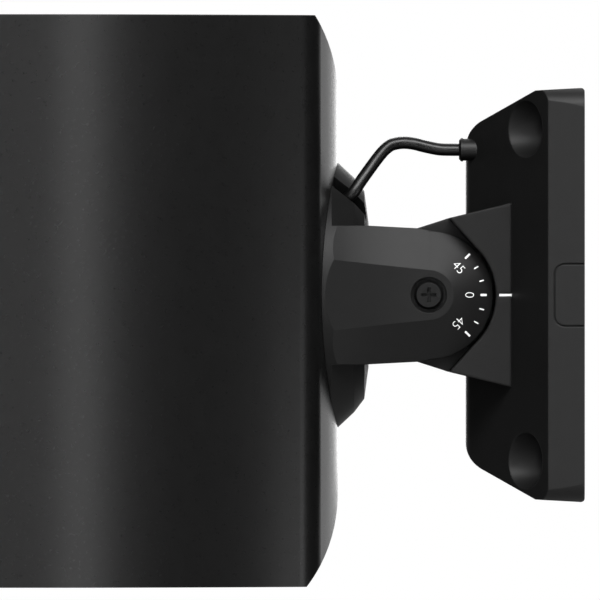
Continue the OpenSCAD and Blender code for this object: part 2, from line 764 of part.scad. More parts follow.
module baffle() {
    color([0.13, 0.13, 0.135]) difference() {
        along(face_x, inner_front) baffle_outline(0.3);
        bar_x(face_x - 1, inner_front + 1, woofer_hole / 2, 0, woofer_z);
        bar_x(face_x - 1, inner_front + 1, tweeter_body_d / 2 + 1, 0, tweeter_z);
        for (p = baffle_spots())
            bar_x(face_x - 1, inner_front + 1, baffle_screw_d / 2 + fit, p[0], p[1]);
        for (a = [45:90:315])
            bar_x(face_x - 1, inner_front - 1, 2 + fit / 2, (woofer_d / 2 - 5) * sin(a), woofer_z + (woofer_d / 2 - 5) * cos(a));
        for (a = [60:120:300])
            bar_x(face_x - 1, inner_front - 1, 1.5 + fit / 2, (tweeter_d / 2 - 4.5) * sin(a), tweeter_z + (tweeter_d / 2 - 4.5) * cos(a));
    }
}

module baffle_seal() {
    color(deep_black) difference() {
        along(inner_front, inner_front + seal_t) difference() {
            baffle_outline(0.3);
            baffle_outline(5);
        }
        for (p = baffle_spots())
            bar_x(inner_front - 1, inner_front + 3, 7, p[0], p[1]);
    }
    color(deep_black) for (p = baffle_spots()) difference() {
        bar_x(inner_front, inner_front + seal_t, 5.5, p[0], p[1]);
        bar_x(inner_front - 1, inner_front + 3, baffle_screw_d / 2 + fit, p[0], p[1]);
    }
}

// A screw along X from the front, its head at x0 towards -X
module front_screw(x0, d, l, head, h, y, z) {
    mirror([1, 0, 0]) pan_screw(-x0, d, l, head, h, y, z);
}

module baffle_screws() {
    color(zinc) for (p = baffle_spots())
        front_screw(face_x, baffle_screw_d, 24, 8, 2.6, p[0], p[1]);
}

// Outline of the front in Y and Z, set in from the cabinet's edges
module front_outline(inset) {
    translate([inset - cabinet_w / 2, inset - cabinet_down])
        square([cabinet_w - 2 * inset, cabinet_up + cabinet_down - 2 * inset]);
}

module grille_frame() {
    w = cabinet_w / 2;
    back = -front_x;
    front = back - grille_depth;
    color([0.12, 0.12, 0.125]) difference() {
        intersection() {
            upward(-cabinet_down, cabinet_up)
                rounded([[back, -w], [back, w], [front, w], [front, -w]], [0, 0, grille_r, grille_r]);
            along(front, back) front_outline(0);
        }
        along(front - 1, back + 1) front_outline(grille_rim);
        along(front - 1, front + grille_sunk + grille_t) front_outline(grille_lip);
    }
}

module grille() {
    front = -front_x - grille_depth + grille_sunk;
    row_step = grille_pitch * sqrt(3) / 2;
    rows = floor((cabinet_up + cabinet_down - 2 * grille_margin) / row_step);
    cols = floor((cabinet_w - 2 * grille_margin) / grille_pitch);
    mid = (cabinet_up - cabinet_down) / 2;
    color(black) along(front, front + grille_t) difference() {
        front_outline(grille_lip + 2 * fit);
        for (i = [0:rows - 1], j = [0:cols - 1 - i % 2])
            translate([(j + (i % 2) / 2 - (cols - 1) / 2) * grille_pitch, mid + (i - (rows - 1) / 2) * row_step])
                circle(grille_hole / 2);
    }
}

module woofer_basket() {
    r = woofer_d / 2;
    ri = woofer_hole / 2 - 1;
    back = face_x + woofer_depth - magnet_t - 12;
    color([0.16, 0.16, 0.17]) {
        translate([back - 3, 5, woofer_z - magnet_d / 2 - 10]) cube([3, 10, 22]);
        translate([0, 0, woofer_z]) difference() {
            turned_x([[ri - 8, face_x - 3.5], [r, face_x - 3.5], [r, face_x], [ri, face_x], [ri, face_x + 8],
                [magnet_d / 2 - 4, back], [16, back], [16, back - 3], [magnet_d / 2 - 6, back - 3],
                [ri - 3, face_x + 6], [ri - 3, face_x + 1], [ri - 8, face_x + 1]]);
            for (a = [45:90:315])
                bar_x(face_x - 4, face_x + 1, 2 + fit, (r - 5) * sin(a), (r - 5) * cos(a));
            for (a = [0:60:300])
                rotate([a, 0, 0]) translate([face_x + 11, -9, 0]) cube([back - face_x - 17, 18, 80]);
        }
    }
}

module woofer_surround() {
    ri = woofer_hole / 2 - 9;
    mid = ri - 5;
    color([0.08, 0.08, 0.08]) translate([0, 0, woofer_z]) difference() {
        translate([face_x - 3.5, 0, 0]) rotate([0, 90, 0]) rotate_extrude() difference() {
            union() {
                translate([mid, 0]) circle(5.5);
                translate([mid, -0.8]) square([8.5, 0.8]);
                translate([mid - 8, -0.8]) square([8.5, 0.8]);
            }
            translate([mid, 0]) circle(4.7);
            translate([0, 0.001]) square([100, 20]);
        }
    }
}

module woofer_cone() {
    r = woofer_hole / 2 - 9 - 5 - 5.6;
    top = face_x - 3.5;
    neck = face_x + 24;
    color([0.2, 0.2, 0.21]) translate([0, 0, woofer_z])
        turned_x([[r, top], [r + 1, top + 0.8], [13.4, neck + 1], [12.6, neck], [r - 1.2, top + 0.6]]);
}

module dust_cap() {
    rise = 5;
    r = (cap_d * cap_d / 4 + rise * rise) / (2 * rise);
    seat = face_x + 17.4;
    color([0.12, 0.12, 0.125]) translate([0, 0, woofer_z]) intersection() {
        bar_x(seat - 20, seat - 0.4, cap_d / 2 - 0.5);
        translate([seat + r - rise - 0.4, 0, 0]) difference() {
            sphere(r, $fn = 96);
            sphere(r - 0.8, $fn = 96);
        }
    }
}

module voice_coil() {
    color([0.6, 0.4, 0.25]) translate([0, 0, woofer_z]) difference() {
        bar_x(face_x + 25.2, face_x + woofer_depth - magnet_t - 6, 12.9);
        bar_x(face_x, face_x + woofer_depth, 12.3);
    }
}

module woofer_spider() {
    x = face_x + 31;
    r = magnet_d / 2 - 4.6;
    color([0.75, 0.6, 0.35]) translate([0, 0, woofer_z])
        turned_x([[13, x], [18, x - 1.5], [22, x + 1.5], [26, x - 1.5], [30, x + 1], [r, x + 1], [r, x + 1.8],
            [30, x + 1.8], [26, x - 0.7], [22, x + 2.3], [18, x - 0.7], [13, x + 0.8]]);
}

module woofer_magnet() {
    back = face_x + woofer_depth - magnet_t - 12;
    color([0.35, 0.35, 0.36]) translate([0, 0, woofer_z]) difference() {
        union() {
            bar_x(back, back + 5, magnet_d / 2 - 3);
            bar_x(back + 5, back + 5 + magnet_t, magnet_d / 2);
            bar_x(back + 5 + magnet_t, back + 10 + magnet_t, magnet_d / 2 - 3);
        }
        difference() {
            bar_x(back - 1, back + 5 + magnet_t, 13.6);
            bar_x(back - 2, back + 6 + magnet_t, 11.8);
        }
    }
}

module woofer_screws() {
    r = woofer_d / 2 - 5;
    color(zinc) for (a = [45:90:315])
        front_screw(face_x - 3.5, 4, 10, 7.6, 2.4, r * sin(a), woofer_z + r * cos(a));
}

module tweeter_plate() {
    r = tweeter_d / 2;
    color([0.14, 0.14, 0.145]) translate([0, 0, tweeter_z]) difference() {
        turned_x([[dome_d / 2 + 4, face_x - 0.5], [r - 8, face_x - 3], [r, face_x - 3], [r, face_x],
            [tweeter_body_d / 2, face_x], [tweeter_body_d / 2, face_x + 4], [dome_d / 2 + 4, face_x + 4]]);
        for (a = [60:120:300])
            bar_x(face_x - 4, face_x + 1, 1.5 + fit, (r - 4.5) * sin(a), (r - 4.5) * cos(a));
    }
}

module tweeter_dome() {
    rise = 6;
    r = (dome_d * dome_d / 4 + rise * rise) / (2 * rise);
    color([0.08, 0.08, 0.09]) translate([0, 0, tweeter_z]) {
        intersection() {
            bar_x(face_x - 10, face_x + 3, dome_d / 2);
            translate([face_x + 3 + r - rise, 0, 0]) difference() {
                sphere(r, $fn = 96);
                sphere(r - 0.6, $fn = 96);
            }
        }
        difference() {
            bar_x(face_x + 3, face_x + 4, dome_d / 2 + 4 - fit);
            bar_x(face_x + 2, face_x + 5, dome_d / 2 - 1);
        }
    }
}

module tweeter_magnet() {
    color([0.35, 0.35, 0.36]) bar_x(face_x + 4, face_x + 4 + tweeter_depth, tweeter_body_d / 2 - 0.5, 0, tweeter_z);
}

module tweeter_screws() {
    r = tweeter_d / 2 - 4.5;
    color(zinc) for (a = [60:120:300])
        front_screw(face_x - 3, 3, 9, 5.6, 1.8, r * sin(a), tweeter_z + r * cos(a));
}

module crossover_board() {
    color([0.1, 0.3, 0.16]) {
        translate([board_x - board_t, -board_half, board_z[0]])
            cube([board_t, 2 * board_half, board_z[1] - board_z[0]]);
        translate([board_x - board_t - 10, -29, 8]) cube([10, 10, 12]);
        translate([board_x - board_t - 10, 9, 2]) cube([10, 10, 12]);
        translate([board_x - board_t - 10, 3, -62]) cube([10, 10, 12]);
    }
}

module crossover_coil() {
    color([0.65, 0.38, 0.2]) difference() {
        bar_x(board_x - board_t - 20, board_x - board_t, 16, -8, -24);
        bar_x(board_x - board_t - 21, board_x - board_t + 1, 7, -8, -24);
    }
}

module crossover_capacitors() {
    color([0.2, 0.22, 0.35]) {
        translate([board_x - board_t - 7, 19, -44]) cylinder(h = 30, r = 7);
        translate([board_x - board_t - 6, -14, -58]) cylinder(h = 14, r = 6);
    }
}

module speaker_cable() {
    color(deep_black) tube(cable_route, cable_d);
}

module woofer_lead() {
    color([0.5, 0.1, 0.1]) tube(woofer_route, 3, 8);
}

module tweeter_lead() {
    color([0.5, 0.1, 0.1]) tube(tweeter_route, 3, 8);
}

wall_plate();
yoke_screws();
terminal_block();
cable_gland();
speaker_cable();
pivot_yoke();
pivot_bush();
friction_discs();
bracket_arm();
clamp_screw();
clamp_nut();
flange_screws();
cable_grommet();
cabinet_shell();
baffle();
baffle_seal();
baffle_screws();
grille_frame();
grille();
woofer_basket();
woofer_cone();
woofer_surround();
dust_cap();
woofer_spider();
voice_coil();
woofer_magnet();
woofer_screws();
tweeter_plate();
tweeter_dome();
tweeter_magnet();
tweeter_screws();
crossover_board();
crossover_coil();
crossover_capacitors();
woofer_lead();
tweeter_lead();
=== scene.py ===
# %% [markdown]
# A wall speaker on its tilting bracket, dressed for its picture.
# The bracket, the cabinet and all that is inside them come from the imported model, at their real size.
# This script adds the camera, the cable, the dial's print, the finishes, the room and the lamps.

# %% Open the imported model
import math

import bmesh
import bpy
from mathutils import Matrix, Vector


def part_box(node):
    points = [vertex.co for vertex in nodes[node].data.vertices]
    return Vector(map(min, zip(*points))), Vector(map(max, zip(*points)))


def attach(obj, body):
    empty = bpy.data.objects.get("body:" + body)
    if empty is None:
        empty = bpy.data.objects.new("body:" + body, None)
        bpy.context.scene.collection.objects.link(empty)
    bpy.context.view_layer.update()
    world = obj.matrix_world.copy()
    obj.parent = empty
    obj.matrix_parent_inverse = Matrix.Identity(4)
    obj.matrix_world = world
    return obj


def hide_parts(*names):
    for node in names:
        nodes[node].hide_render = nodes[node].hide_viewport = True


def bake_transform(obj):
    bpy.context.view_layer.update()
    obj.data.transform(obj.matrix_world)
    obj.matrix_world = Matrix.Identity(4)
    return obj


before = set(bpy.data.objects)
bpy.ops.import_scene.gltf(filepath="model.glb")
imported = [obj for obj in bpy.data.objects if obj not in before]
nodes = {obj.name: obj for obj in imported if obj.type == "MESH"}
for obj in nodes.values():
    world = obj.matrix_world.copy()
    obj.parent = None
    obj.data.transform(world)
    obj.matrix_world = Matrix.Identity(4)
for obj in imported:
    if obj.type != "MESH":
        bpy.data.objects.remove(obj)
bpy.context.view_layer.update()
scene = bpy.context.scene
MM = 0.001
print("pieces in the model:", len(nodes))

# %% [markdown]
# The picture is a plain side view. A camera could stand close with a short lens, but then the near edges
# would spread. A very long lens from far away keeps near and far edges in line, as a catalogue picture
# does. The picture's scale, and the place of the wall and of the tilt axis in it, say where to aim.

# %% Camera
PICTURE_SIDE = 600
PIXEL = 0.4 * MM
WALL_COLUMN = 584.5
AXIS_ROW = 295.0
CAMERA_DISTANCE = 9.0
FARTHEST_SEEN = 40.0
SCALE_PLANE = -0.06
SENSOR = 36.0

aim = Vector(((PICTURE_SIDE / 2 - WALL_COLUMN) * PIXEL, 0, (AXIS_ROW - PICTURE_SIDE / 2) * PIXEL))
camera_data = bpy.data.cameras.new("side_camera")
camera_data.sensor_width = SENSOR
camera_data.lens = SENSOR * (CAMERA_DISTANCE + SCALE_PLANE) / (PICTURE_SIDE * PIXEL)
camera_data.clip_end = FARTHEST_SEEN
camera = bpy.data.objects.new("side_camera", camera_data)
camera.location = aim + Vector((0, -CAMERA_DISTANCE, 0))
camera.rotation_euler = (math.radians(90), 0, 0)
scene.collection.objects.link(camera)
scene.camera = camera
print("lens in mm:", round(camera_data.lens))

# %% [markdown]
# Each finish is a short recipe on the Principled shader. A recipe starts from a colour and a gloss.
# Colours are written as the grey level that a picture shows, from 0 to 255, and are turned into the linear
# values that a shader wants.

# %% Colours and the start of a finish
def grey(level):
    """A neutral colour from a level of 0 to 255, as a picture shows it."""
    share = level / 255
    linear = share / 12.92 if share <= 0.04045 else ((share + 0.055) / 1.055) ** 2.4
    return (linear, linear, linear, 1)


def start_finish(name, colour, roughness, specular, metallic=0.0):
    material = bpy.data.materials.new(name)
    material.use_nodes = True
    shader = material.node_tree.nodes["Principled BSDF"]
    shader.inputs["Base Color"].default_value = colour
    shader.inputs["Roughness"].default_value = roughness
    shader.inputs["Specular IOR Level"].default_value = specular
    shader.inputs["Metallic"].default_value = metallic
    return material, shader


print("level 128 in linear light:", round(grey(128)[0], 3))

# %% [markdown]
# Patterns are laid on in the object's own coordinates, in metres, so that a grain keeps its real size on
# every piece. Image textures could do this too, but a noise needs no unwrapping and has no seams. The
# first pattern is a soft noise, and the second is made of rounded cells, like the grain of leather.

# %% Patterns
CELL_SOFTNESS = 0.6


def add_node(material, kind, **settings):
    node = material.node_tree.nodes.new(kind)
    for key, value in settings.items():
        setattr(node, key, value)
    return node


def join(material, output, socket):
    material.node_tree.links.new(output, socket)


def place_of(material):
    return add_node(material, "ShaderNodeTexCoord").outputs["Object"]


def noise(material, size, detail=3.0, stretch=(1, 1, 1)):
    """Soft random lumps of about the given size in metres."""
    texture = add_node(material, "ShaderNodeTexNoise")
    texture.inputs["Scale"].default_value = 1 / size
    texture.inputs["Detail"].default_value = detail
    mapping = add_node(material, "ShaderNodeMapping")
    mapping.inputs["Scale"].default_value = stretch
    join(material, place_of(material), mapping.inputs["Vector"])
    join(material, mapping.outputs["Vector"], texture.inputs["Vector"])
    return texture.outputs["Fac"]


def cells(material, size):
    """Rounded cells of about the given size in metres."""
    texture = add_node(material, "ShaderNodeTexVoronoi", feature="SMOOTH_F1")
    texture.inputs["Scale"].default_value = 1 / size
    texture.inputs["Smoothness"].default_value = CELL_SOFTNESS
    join(material, place_of(material), texture.inputs["Vector"])
    return texture.outputs["Distance"]


print("patterns:", noise.__name__, cells.__name__)

# %% [markdown]
# A pattern becomes relief through a Bump node, and several bumps can lie on each other. A Bevel node
# under them rounds hard edges a little, as the edges of a casting or a moulding are. The mesh could be
# bevelled instead, but these meshes come from the model and aren't changed.

# %% Relief and soft edges
EDGE_SAMPLES = 6


def raise_bumps(material, shader, height, depth, strength):
    """Lays a bump of the given depth in metres over whatever bump the shader has already."""
    bump = add_node(material, "ShaderNodeBump")
    bump.inputs["Strength"].default_value = strength
    bump.inputs["Distance"].default_value = depth
    join(material, height, bump.inputs["Height"])
    links = shader.inputs["Normal"].links
    if links:
        join(material, links[0].from_socket, bump.inputs["Normal"])
    join(material, bump.outputs["Normal"], shader.inputs["Normal"])


def soften_edges(material, shader, radius):
    bevel = add_node(material, "ShaderNodeBevel", samples=EDGE_SAMPLES)
    bevel.inputs["Radius"].default_value = radius
    join(material, bevel.outputs["Normal"], shader.inputs["Normal"])


print("relief:", raise_bumps.__name__, soften_edges.__name__)

# %% [markdown]
# No real surface has one gloss and one colour all over. Here both drift a little with a slow pattern.

# %% Drifting gloss and colour
def vary_roughness(material, shader, factor, low, high):
    """Lets the roughness drift between two values with a pattern."""
    spread = add_node(material, "ShaderNodeMapRange")
    spread.inputs["To Min"].default_value = low
    spread.inputs["To Max"].default_value = high
    join(material, factor, spread.inputs["Value"])
    join(material, spread.outputs["Result"], shader.inputs["Roughness"])


def tint(material, shader, factor, low, high):
    """Lets the colour drift between two colours with a pattern."""
    ramp = add_node(material, "ShaderNodeValToRGB")
    ramp.color_ramp.elements[0].position = 0.3
    ramp.color_ramp.elements[0].color = low
    ramp.color_ramp.elements[1].position = 0.7
    ramp.color_ramp.elements[1].color = high
    join(material, factor, ramp.inputs["Fac"])
    join(material, ramp.outputs["Color"], shader.inputs["Base Color"])


print("drift:", vary_roughness.__name__, tint.__name__)

# %% [markdown]
# The cabinet is a black moulding with a fine leather grain. Its tool was etched, so the grain is made of
# rounded cells under a millimetre wide, with a finer noise between them. It is the glossiest of the large
# pieces, so that a tall lamp draws a clear highlight along its curved side.

# %% Cabinet plastic
finishes = {}


def moulded_cabinet():
    material, shader = start_finish("moulded_cabinet", grey(8), roughness=0.28, specular=0.2)
    soften_edges(material, shader, radius=0.6 * MM)
    raise_bumps(material, shader, cells(material, size=0.9 * MM), depth=0.016 * MM, strength=0.35)
    raise_bumps(material, shader, noise(material, 0.45 * MM, detail=2.0), depth=0.01 * MM, strength=0.4)
    tint(material, shader, noise(material, 6 * MM), grey(7), grey(9))
    vary_roughness(material, shader, noise(material, 1.5 * MM), 0.26, 0.3)
    return material


finishes["moulded_cabinet"] = moulded_cabinet()
print("finishes so far:", len(finishes))

# %% [markdown]
# The plate, the yoke and the arm are castings under one matte powder coat, and the grille and the woofer's
# basket are sheet metal under the same. The coat is smooth to the eye, with a faint orange peel that only
# shows in the highlights. The castings' grey levels differ only as painted light and shade: the plate's and
# the yoke's lighter greys stand in for the light their faces catch, and are not a lighter paint. The yoke's
# edges are cast rounder than the arm's, so each casting has its own edge radius, in millimetres.

# %% Powder coat
def powder_coat(name, level, edge):
    roughness = 0.5
    material, shader = start_finish(name, grey(level), roughness, specular=0.13)
    soften_edges(material, shader, radius=edge * MM)
    raise_bumps(material, shader, noise(material, 1.2 * MM, detail=2.0), depth=0.02 * MM, strength=0.35)
    raise_bumps(material, shader, noise(material, 0.25 * MM, detail=1.0), depth=0.01 * MM, strength=0.4)
    tint(material, shader, noise(material, 5 * MM), grey(level - 1), grey(level + 1))
    vary_roughness(material, shader, noise(material, 0.8 * MM), roughness - 0.04, roughness + 0.04)
    return material


# Painted light: the yoke's and the plate's greys are lifted above the arm's to stand in for the light that
# falls on them.
finishes["arm_coat"] = powder_coat("arm_coat", level=9, edge=0.4)
finishes["yoke_coat_painted_light"] = powder_coat("yoke_coat_painted_light", level=12, edge=1.4)
finishes["plate_coat_painted_light"] = powder_coat("plate_coat_painted_light", level=17, edge=0.8)
finishes["sheet_coat"] = powder_coat("grille_coat", level=12, edge=0.2)
print("finishes so far:", len(finishes))

# %% [markdown]
# The plastics that are not the cabinet's: the front, and the coloured ones behind the grille. Paper,
# fibre and the circuit board follow the same recipe with other lumps.

# %% Plain plastics, paper and board
def plain_plastic(name, colour, roughness, lump=0.8, specular=0.4):
    material, shader = start_finish(name, colour, roughness, specular)
    raise_bumps(material, shader, noise(material, lump * MM, detail=2.0), depth=0.02 * MM, strength=0.4)
    vary_roughness(material, shader, noise(material, 2 * MM), roughness - 0.06, roughness + 0.06)
    return material


finishes["front_plastic"] = plain_plastic("front_plastic", grey(10), 0.5, specular=0.2)
finishes["fibre"] = plain_plastic("fibre_disc", (0.12, 0.1, 0.08, 1), 0.8, lump=0.3)
finishes["terminal"] = plain_plastic("terminal_green", (0.03, 0.16, 0.08, 1), 0.45)
finishes["paper"] = plain_plastic("cone_paper", grey(58), 0.75, lump=0.5)
finishes["board"] = plain_plastic("circuit_board", (0.02, 0.13, 0.05, 1), 0.35)
finishes["capacitor"] = plain_plastic("capacitor_wrap", (0.05, 0.07, 0.25, 1), 0.25)
finishes["lead"] = plain_plastic("lead_jacket", (0.35, 0.02, 0.02, 1), 0.4)
print("finishes so far:", len(finishes))

# %% [markdown]
# Metal parts: blackened steel for the clamp screw, zinc plate for the hidden screws and the nut, bronze
# for the bush, and the magnets' dull ferrite. A brushed look comes from a noise that is stretched one
# way.

# %% Metals
def plain_metal(name, colour, roughness, grain=0.3, metallic=1.0, specular=0.5):
    material, shader = start_finish(name, colour, roughness, specular, metallic)
    soften_edges(material, shader, radius=0.25 * MM)
    brushed = noise(material, grain * MM, detail=2.0, stretch=(1, 1, 6))
    raise_bumps(material, shader, brushed, depth=0.01 * MM, strength=0.4)
    vary_roughness(material, shader, noise(material, 1.1 * MM), roughness - 0.06, roughness + 0.08)
    return material


finishes["black_steel"] = plain_metal("black_steel", grey(12), 0.46, metallic=0.1, specular=0.11)
finishes["zinc"] = plain_metal("zinc", (0.55, 0.56, 0.58, 1), 0.3)
finishes["bronze"] = plain_metal("bronze", (0.5, 0.36, 0.18, 1), 0.45)
finishes["ferrite"] = plain_metal("ferrite", grey(60), 0.6, grain=0.5, metallic=0.3)
print("finishes so far:", len(finishes))

# %% [markdown]
# Rubber and soft plastic: the gland, the grommet, the seal and the cable's jacket. They are nearly black, a
# little glossy where the light grazes them, and slightly uneven.

# %% Rubber and jackets
def soft_black(name, level, roughness):
    material, shader = start_finish(name, grey(level), roughness, specular=0.2)
    raise_bumps(material, shader, noise(material, 0.6 * MM, detail=2.0), depth=0.01 * MM, strength=0.2)
    tint(material, shader, noise(material, 3 * MM), grey(level - 1), grey(level + 1))
    vary_roughness(material, shader, noise(material, 1.6 * MM), roughness - 0.05, roughness + 0.05)
    return material


finishes["rubber"] = soft_black("black_rubber", level=5, roughness=0.5)
finishes["jacket"] = soft_black("cable_jacket", level=4, roughness=0.36)
print("finishes so far:", len(finishes))

# %% [markdown]
# Cloth and wound wire are rows of ridges, which a Wave texture gives without a single extra face. At a
# scale of 1 the wave turns by 20 radians in a metre, so its scale comes from the length that it takes for
# one radian.

# %% Cloth and wound wire
WAVE_RADIANS = 20


def ridges(material, shader, direction, radian, depth, strength):
    """Rows of ridges across a direction, given the length of one radian of their wave in millimetres."""
    wave = add_node(material, "ShaderNodeTexWave", bands_direction=direction)
    wave.inputs["Scale"].default_value = 1 / (radian * MM) / WAVE_RADIANS
    join(material, place_of(material), wave.inputs["Vector"])
    raise_bumps(material, shader, wave.outputs["Fac"], depth, strength)


def woven(name, colour, radian):
    """Two crossed sets of threads."""
    material, shader = start_finish(name, colour, roughness=0.8, specular=0.2)
    for direction in ("Y", "Z"):
        ridges(material, shader, direction, radian, depth=0.05 * MM, strength=0.6)
    return material


def wound_wire(name, colour, radian):
    """Turns of enamelled wire, side by side along the coil's axis."""
    material, shader = start_finish(name, colour, roughness=0.35, specular=0.5, metallic=0.9)
    ridges(material, shader, "X", radian, depth=0.2 * MM, strength=0.8)
    return material


finishes["spider"] = woven("spider_cloth", (0.5, 0.32, 0.12, 1), radian=0.6)
finishes["silk"] = woven("dome_silk", grey(26), radian=0.3)
finishes["copper"] = wound_wire("copper_wire", (0.6, 0.27, 0.13, 1), radian=0.6)
print("finishes:", sorted(finishes))

# %% [markdown]
# Every piece of the model keeps its shape and gets its finish. Whatever the list below doesn't name is
# zinc plated: the hidden screws and the nut.

# %% Give every node its finish
FINISH_OF = {
    "bracket_arm": "arm_coat",
    "pivot_yoke": "yoke_coat_painted_light",
    "wall_plate": "plate_coat_painted_light",
    "cabinet_shell": "moulded_cabinet",
    "baffle": "front_plastic",
    "tweeter_plate": "front_plastic",
    "grille_frame": "front_plastic",
    "grille": "sheet_coat",
    "woofer_basket": "sheet_coat",
    "clamp_screw": "black_steel",
    "cable_gland": "rubber",
    "cable_grommet": "rubber",
    "baffle_seal": "rubber",
    "woofer_surround": "rubber",
    "speaker_cable": "jacket",
    "friction_discs": "fibre",
    "pivot_bush": "bronze",
    "terminal_block": "terminal",
    "woofer_cone": "paper",
    "dust_cap": "paper",
    "woofer_spider": "spider",
    "tweeter_dome": "silk",
    "voice_coil": "copper",
    "crossover_coil": "copper",
    "woofer_magnet": "ferrite",
    "tweeter_magnet": "ferrite",
    "crossover_board": "board",
    "crossover_capacitors": "capacitor",
    "woofer_lead": "lead",
    "tweeter_lead": "lead",
}
for name, node in nodes.items():
    finish = finishes[FINISH_OF.get(name, "zinc")]
    node.data.materials.clear()
    node.data.materials.append(finish)
print("finished nodes:", len(nodes))

# %% [markdown]
# The cable leaves the terminal block behind the plate, comes out through the gland, arches over to the
# flange, drops into the notch and goes through the cabinet's back. Its route is a short list of points in
# millimetres, the same as in the part. A smooth curve through them, given a round section, makes the
# tube.

# %% Cable route
CABLE_D = 5 * MM
STEPS_A_SPAN = 6
CABLE_ROUTE = [(-24, -17, 46), (-24.5, -17, 50), (-27, -17, 54), (-31, -17, 57), (-36, -17, 58.4),
               (-44, -17, 58.4), (-52, -17, 58.4), (-58, -17, 58.6), (-64, -17.5, 59.8), (-68, -18, 60.8),
               (-72, -18, 61.2), (-75.5, -18.5, 60.8), (-78, -19, 59.8), (-81, -20, 57), (-85, -22, 51.8),
               (-89.5, -25, 45.5), (-92.5, -26.5, 41), (-96, -25.5, 38), (-100, -24.3, 36.1),
               (-105, -24, 35.6), (-110, -24, 35), (-115, -24, 32), (-118.5, -24, 27.5), (-118.6, -24, 20.4)]


def smooth_line(points, steps):
    """Points of a curve that passes through all the given points without a kink."""
    line = []
    for i in range(len(points) - 1):
        before, here = points[max(i - 1, 0)], points[i]
        after, beyond = points[i + 1], points[min(i + 2, len(points) - 1)]
        for k in range(steps):
            t = k / steps
            line.append(0.5 * (2 * here + (after - before) * t
                               + (2 * before - 5 * here + 4 * after - beyond) * t * t
                               + (3 * here - before - 3 * after + beyond) * t ** 3))
    return line + [points[-1]]


cable_line = smooth_line([Vector(p) * MM for p in CABLE_ROUTE], STEPS_A_SPAN)

# %% [markdown]
# A curve with a round bevel gives the tube its section and its end caps. It is made a mesh at once, and its
# doubles are merged, so that the tube is one closed skin.

# %% Cable tube
SECTION_STEPS = 6
MERGE = 0.01 * MM


def round_tube(name, line, radius):
    curve = bpy.data.curves.new(name, "CURVE")
    curve.dimensions = "3D"
    curve.bevel_depth = radius
    curve.bevel_resolution = SECTION_STEPS
    curve.use_fill_caps = True
    spline = curve.splines.new("POLY")
    spline.points.add(len(line) - 1)
    for point, place in zip(spline.points, line):
        point.co = (*place, 1)
    maker = bpy.data.objects.new(name + "_line", curve)
    scene.collection.objects.link(maker)
    mesh = bpy.data.meshes.new_from_object(maker.evaluated_get(bpy.context.evaluated_depsgraph_get()))
    bpy.data.objects.remove(maker)
    form = bmesh.new()
    form.from_mesh(mesh)
    bmesh.ops.remove_doubles(form, verts=form.verts, dist=MERGE)
    bmesh.ops.recalc_face_normals(form, faces=form.faces)
    for face in form.faces:
        face.smooth = True
    form.to_mesh(mesh)
    form.free()
    tube = bpy.data.objects.new(name, mesh)
    scene.collection.objects.link(tube)
    return tube


cable = round_tube("speaker_cable_jacket", cable_line, CABLE_D / 2)
cable.data.materials.append(finishes["jacket"])
print("cable faces:", len(cable.data.polygons))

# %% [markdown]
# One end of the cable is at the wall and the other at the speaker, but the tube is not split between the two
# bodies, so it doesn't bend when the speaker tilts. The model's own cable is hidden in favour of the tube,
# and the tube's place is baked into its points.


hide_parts("speaker_cable")
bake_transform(cable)

# %% [markdown]
# The dial's print is a thin coat of white ink on the bevelled end of the arm: a tick every 15 degrees and
# the numbers 45, 0 and 45, whose tops point away from the tilt axis. Each mark is made flat and then
# carried to its place in front of the arm by one matrix.

# %% Places on the dial
AXIS = Vector((-62.2, 0, 0)) * MM
FACE_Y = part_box("pivot_yoke")[0].y
PRINT_START = 4 * MM


def dial_place(angle, radius):
    """Carries a flat mark, drawn in X and Y, to the dial, where its top points away from the tilt axis."""
    a = math.radians(angle)
    outwards = Vector((math.cos(a), 0, math.sin(a)))
    onwards = Vector((math.sin(a), 0, -math.cos(a)))
    facing = Vector((0, -1, 0))
    turn = Matrix((onwards, outwards, facing)).transposed().to_4x4()
    centre = AXIS + outwards * radius + Vector((0, FACE_Y - PRINT_START, 0))
    return Matrix.Translation(centre) @ turn


print("yoke's near face at y in mm:", round(FACE_Y / MM, 2))

# %% [markdown]
# A tick is a small grid with its four corners rounded. A number is drawn by Blender's own font, with its
# strokes a little thinned, because a pad print is finer than the font.

# %% Ticks and numbers
CUTS = 4
CORNER = 0.24
STROKE_THINNING = -0.016
FONT_STEPS = 6


def bar_mark(across, along):
    """A flat bar with a few cuts along it, so that it can bend over the casting, and with round corners."""
    form = bmesh.new()
    bmesh.ops.create_grid(form, x_segments=CUTS, y_segments=CUTS, size=0.5,
                          matrix=Matrix.Diagonal((across, along, 1, 1)))
    corners = [v for v in form.verts if len(v.link_edges) == 2]
    bmesh.ops.bevel(form, geom=corners, offset=CORNER * across, segments=3, profile=0.5, affect="VERTICES",
                    material=-1)
    return form


def number_mark(text, height):
    """A number of the given height, centred."""
    curve = bpy.data.curves.new("number", "FONT")
    curve.body = text
    curve.align_x = "CENTER"
    curve.offset = STROKE_THINNING
    curve.resolution_u = FONT_STEPS
    maker = bpy.data.objects.new("number", curve)
    scene.collection.objects.link(maker)
    mesh = bpy.data.meshes.new_from_object(maker.evaluated_get(bpy.context.evaluated_depsgraph_get()))
    bpy.data.objects.remove(maker)
    form = bmesh.new()
    form.from_mesh(mesh)
    low = Vector((min(v.co.x for v in form.verts), min(v.co.y for v in form.verts), 0))
    high = Vector((max(v.co.x for v in form.verts), max(v.co.y for v in form.verts), 0))
    size = height / (high.y - low.y)
    bmesh.ops.translate(form, vec=-(low + high) / 2, verts=form.verts)
    bmesh.ops.scale(form, vec=(size, size, size), verts=form.verts)
    return form


